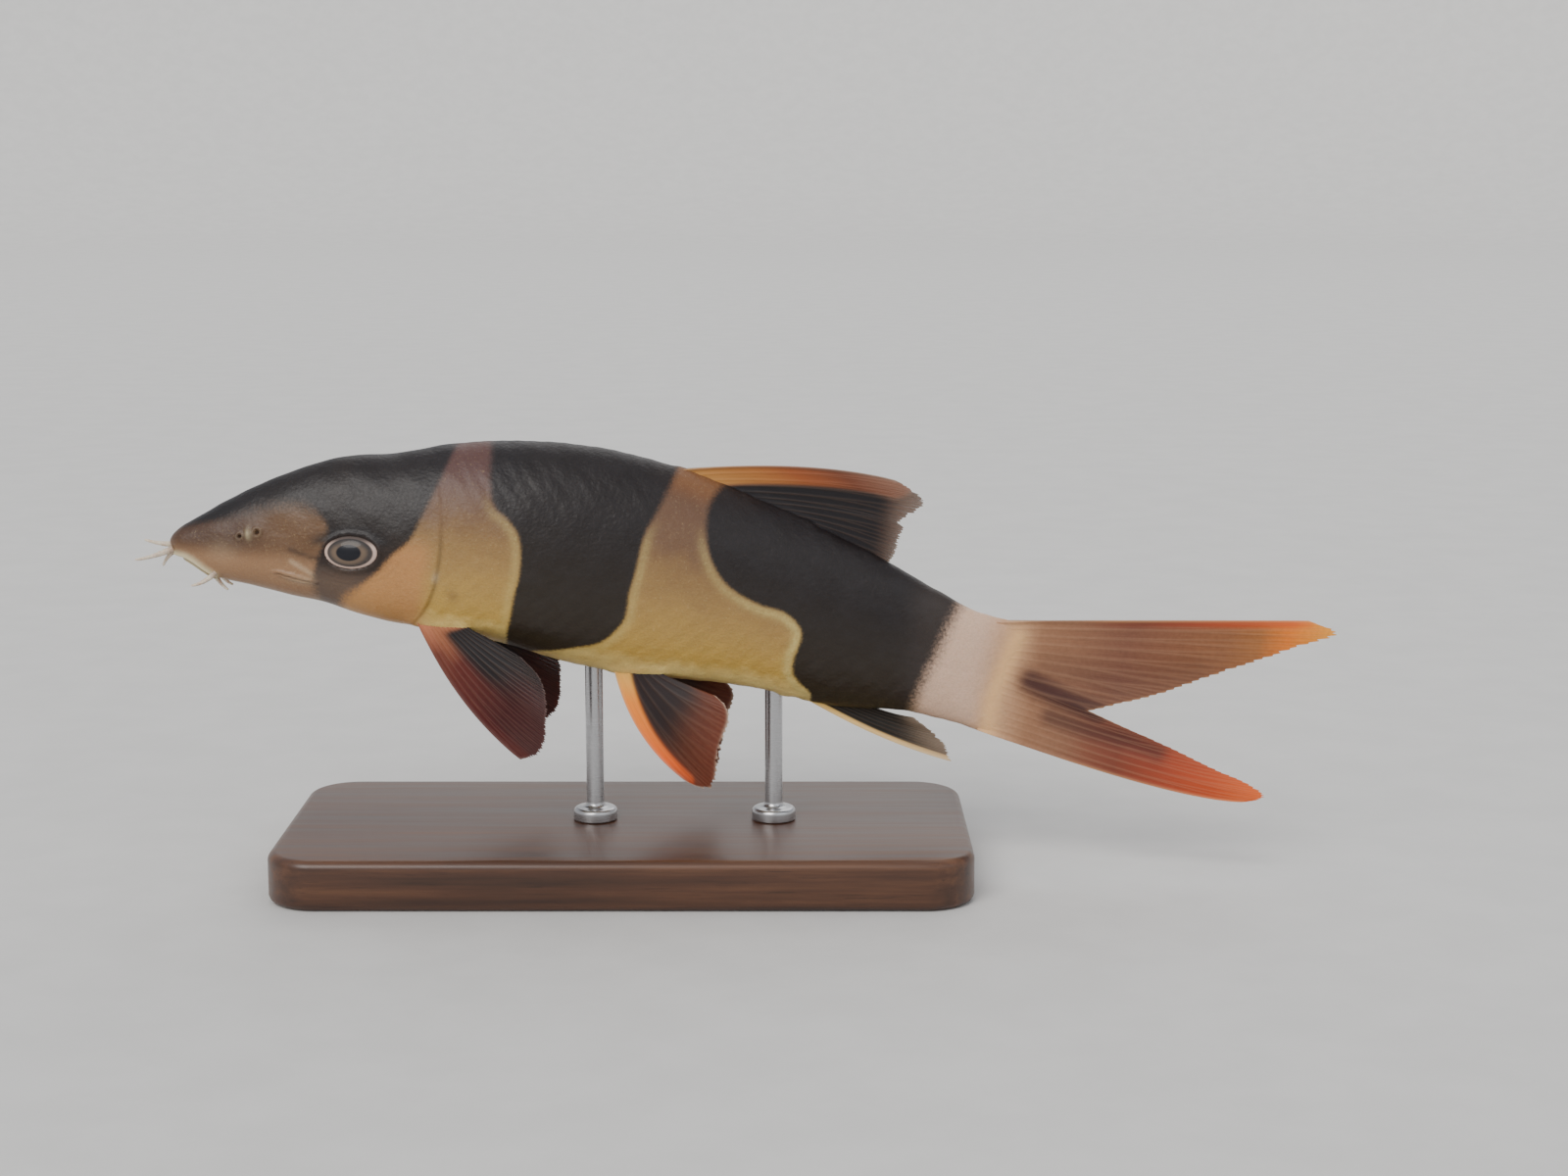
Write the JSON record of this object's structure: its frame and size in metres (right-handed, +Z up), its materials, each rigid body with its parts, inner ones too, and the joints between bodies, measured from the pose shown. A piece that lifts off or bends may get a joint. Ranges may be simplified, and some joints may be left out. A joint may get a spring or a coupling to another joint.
{
  "type": "clown loach",
  "caption": "Life-size still model of a clown loach swimming head up, all fins spread, over a plain flat stand with two short rods.",
  "frame": {"origin": "centre of the stand base's underside", "axes": "+X along the fish from head to tail, -Y the side of its left flank, +Z up"},
  "size_m": [0.214, 0.058, 0.0786],
  "materials": {
    "skin_head": "smooth moist fish skin, brown with a dark band over the eye",
    "skin_body": "smooth moist skin with minute scales, gold to orange with soft-edged black bands",
    "skin_tail": "smooth moist skin with minute scales, black band and a peach tail base",
    "eye": "clear glossy eye, dark pupil in a grey-brown iris",
    "barbel": "smooth whitish skin",
    "fin_dark": "finely rayed membrane, dark red to black with orange leading rays",
    "fin_orange": "finely rayed membrane, brown-red with orange lobes",
    "stand_wood": "dark stained, satin",
    "stand_steel": "satin"
  },
  "bodies": {
    "root": {"head": "skin_head", "torso": "skin_body", "tail": "skin_tail", "eye_left": "eye", "eye_right": "eye", "barbel_rostral_outer_left": "barbel", "barbel_rostral_outer_right": "barbel", "barbel_rostral_inner_left": "barbel", "barbel_rostral_inner_right": "barbel", "barbel_maxillary_left": "barbel", "barbel_maxillary_right": "barbel", "barbel_mandibular_left": "barbel", "barbel_mandibular_right": "barbel", "dorsal_fin": "fin_dark", "anal_fin": "fin_dark", "pectoral_fin_left": "fin_dark", "pectoral_fin_right": "fin_dark", "pelvic_fin_left": "fin_dark", "pelvic_fin_right": "fin_dark", "caudal_fin_upper": "fin_orange", "caudal_fin_lower": "fin_orange", "stand_base": "stand_wood", "stand_rod_front": "stand_steel", "stand_rod_rear": "stand_steel"}
  },
  "joints": []
}
